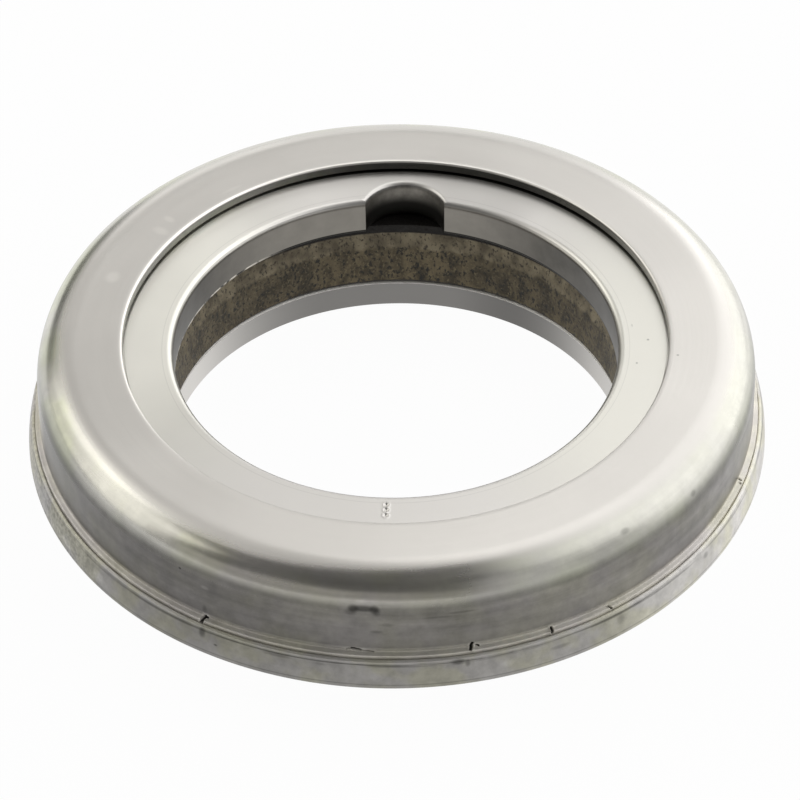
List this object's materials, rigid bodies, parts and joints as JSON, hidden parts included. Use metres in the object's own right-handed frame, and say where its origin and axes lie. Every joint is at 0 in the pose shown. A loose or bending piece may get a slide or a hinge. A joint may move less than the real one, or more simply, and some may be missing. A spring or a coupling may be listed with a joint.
{
  "type": "clutch release bearing",
  "caption": "Thrust ball bearing for a clutch release carrier: pressed shell on the rotating race, ball retainer, and a notched race with a press-fit bore.",
  "frame": {"origin": "on the bore axis, in the plane of the wear face that the bearing rests on", "axes": "+Z along the bore axis from the wear face to the shell's flat face; +Y through the grease notch of the stationary race; +X to the right seen from -Y"},
  "size_m": [0.1174, 0.1174, 0.0254],
  "materials": {
    "race_steel": "ground",
    "pressed_steel": "satin pressed sheet",
    "sintered_iron": "rough, oiled",
    "ball_steel": "polished"
  },
  "bodies": {
    "rotor": {"rotating_race": "race_steel", "shell": "pressed_steel"},
    "stator": {"stationary_race": "race_steel"},
    "cage": {"ball_retainer": "sintered_iron"},
    "ball_01": {"ball_01": "ball_steel"},
    "ball_02": {"ball_02": "ball_steel"},
    "ball_03": {"ball_03": "ball_steel"},
    "ball_04": {"ball_04": "ball_steel"},
    "ball_05": {"ball_05": "ball_steel"},
    "ball_06": {"ball_06": "ball_steel"},
    "ball_07": {"ball_07": "ball_steel"},
    "ball_08": {"ball_08": "ball_steel"},
    "ball_09": {"ball_09": "ball_steel"},
    "ball_10": {"ball_10": "ball_steel"},
    "ball_11": {"ball_11": "ball_steel"},
    "ball_12": {"ball_12": "ball_steel"},
    "ball_13": {"ball_13": "ball_steel"},
    "ball_14": {"ball_14": "ball_steel"},
    "ball_15": {"ball_15": "ball_steel"},
    "ball_16": {"ball_16": "ball_steel"}
  },
  "joints": [
    {"name": "stator_turn", "type": "hinge", "parent": "rotor", "child": "stator", "pos_m": [0, 0, 0.02045], "axis": [0, 0, 1], "continuous": true},
    {"name": "cage_turn", "type": "hinge", "parent": "rotor", "child": "cage", "pos_m": [0, 0, 0.0112], "axis": [0, 0, 1], "continuous": true},
    {"name": "ball_01_roll", "type": "hinge", "parent": "cage", "child": "ball_01", "pos_m": [-0.00875, 0.04398, 0.0112], "axis": [-0.1951, 0.9808, 0], "continuous": true},
    {"name": "ball_02_roll", "type": "hinge", "parent": "cage", "child": "ball_02", "pos_m": [-0.02491, 0.03729, 0.0112], "axis": [-0.5556, 0.8315, 0], "continuous": true},
    {"name": "ball_03_roll", "type": "hinge", "parent": "cage", "child": "ball_03", "pos_m": [-0.03729, 0.02491, 0.0112], "axis": [-0.8315, 0.5556, 0], "continuous": true},
    {"name": "ball_04_roll", "type": "hinge", "parent": "cage", "child": "ball_04", "pos_m": [-0.04398, 0.00875, 0.0112], "axis": [-0.9808, 0.1951, 0], "continuous": true},
    {"name": "ball_05_roll", "type": "hinge", "parent": "cage", "child": "ball_05", "pos_m": [-0.04398, -0.00875, 0.0112], "axis": [-0.9808, -0.1951, 0], "continuous": true},
    {"name": "ball_06_roll", "type": "hinge", "parent": "cage", "child": "ball_06", "pos_m": [-0.03729, -0.02491, 0.0112], "axis": [-0.8315, -0.5556, 0], "continuous": true},
    {"name": "ball_07_roll", "type": "hinge", "parent": "cage", "child": "ball_07", "pos_m": [-0.02491, -0.03729, 0.0112], "axis": [-0.5556, -0.8315, 0], "continuous": true},
    {"name": "ball_08_roll", "type": "hinge", "parent": "cage", "child": "ball_08", "pos_m": [-0.00875, -0.04398, 0.0112], "axis": [-0.1951, -0.9808, 0], "continuous": true},
    {"name": "ball_09_roll", "type": "hinge", "parent": "cage", "child": "ball_09", "pos_m": [0.00875, -0.04398, 0.0112], "axis": [0.1951, -0.9808, 0], "continuous": true},
    {"name": "ball_10_roll", "type": "hinge", "parent": "cage", "child": "ball_10", "pos_m": [0.02491, -0.03729, 0.0112], "axis": [0.5556, -0.8315, 0], "continuous": true},
    {"name": "ball_11_roll", "type": "hinge", "parent": "cage", "child": "ball_11", "pos_m": [0.03729, -0.02491, 0.0112], "axis": [0.8315, -0.5556, 0], "continuous": true},
    {"name": "ball_12_roll", "type": "hinge", "parent": "cage", "child": "ball_12", "pos_m": [0.04398, -0.00875, 0.0112], "axis": [0.9808, -0.1951, 0], "continuous": true},
    {"name": "ball_13_roll", "type": "hinge", "parent": "cage", "child": "ball_13", "pos_m": [0.04398, 0.00875, 0.0112], "axis": [0.9808, 0.1951, 0], "continuous": true},
    {"name": "ball_14_roll", "type": "hinge", "parent": "cage", "child": "ball_14", "pos_m": [0.03729, 0.02491, 0.0112], "axis": [0.8315, 0.5556, 0], "continuous": true},
    {"name": "ball_15_roll", "type": "hinge", "parent": "cage", "child": "ball_15", "pos_m": [0.02491, 0.03729, 0.0112], "axis": [0.5556, 0.8315, 0], "continuous": true},
    {"name": "ball_16_roll", "type": "hinge", "parent": "cage", "child": "ball_16", "pos_m": [0.00875, 0.04398, 0.0112], "axis": [0.1951, 0.9808, 0], "continuous": true}
  ],
  "couplings": [
    {"joint": "cage_turn", "follows": "stator_turn", "ratio": 0.5},
    {"joint": "ball_01_roll", "follows": "stator_turn", "ratio": -3.1387},
    {"joint": "ball_02_roll", "follows": "stator_turn", "ratio": -3.1387},
    {"joint": "ball_03_roll", "follows": "stator_turn", "ratio": -3.1387},
    {"joint": "ball_04_roll", "follows": "stator_turn", "ratio": -3.1387},
    {"joint": "ball_05_roll", "follows": "stator_turn", "ratio": -3.1387},
    {"joint": "ball_06_roll", "follows": "stator_turn", "ratio": -3.1387},
    {"joint": "ball_07_roll", "follows": "stator_turn", "ratio": -3.1387},
    {"joint": "ball_08_roll", "follows": "stator_turn", "ratio": -3.1387},
    {"joint": "ball_09_roll", "follows": "stator_turn", "ratio": -3.1387},
    {"joint": "ball_10_roll", "follows": "stator_turn", "ratio": -3.1387},
    {"joint": "ball_11_roll", "follows": "stator_turn", "ratio": -3.1387},
    {"joint": "ball_12_roll", "follows": "stator_turn", "ratio": -3.1387},
    {"joint": "ball_13_roll", "follows": "stator_turn", "ratio": -3.1387},
    {"joint": "ball_14_roll", "follows": "stator_turn", "ratio": -3.1387},
    {"joint": "ball_15_roll", "follows": "stator_turn", "ratio": -3.1387},
    {"joint": "ball_16_roll", "follows": "stator_turn", "ratio": -3.1387}
  ]
}
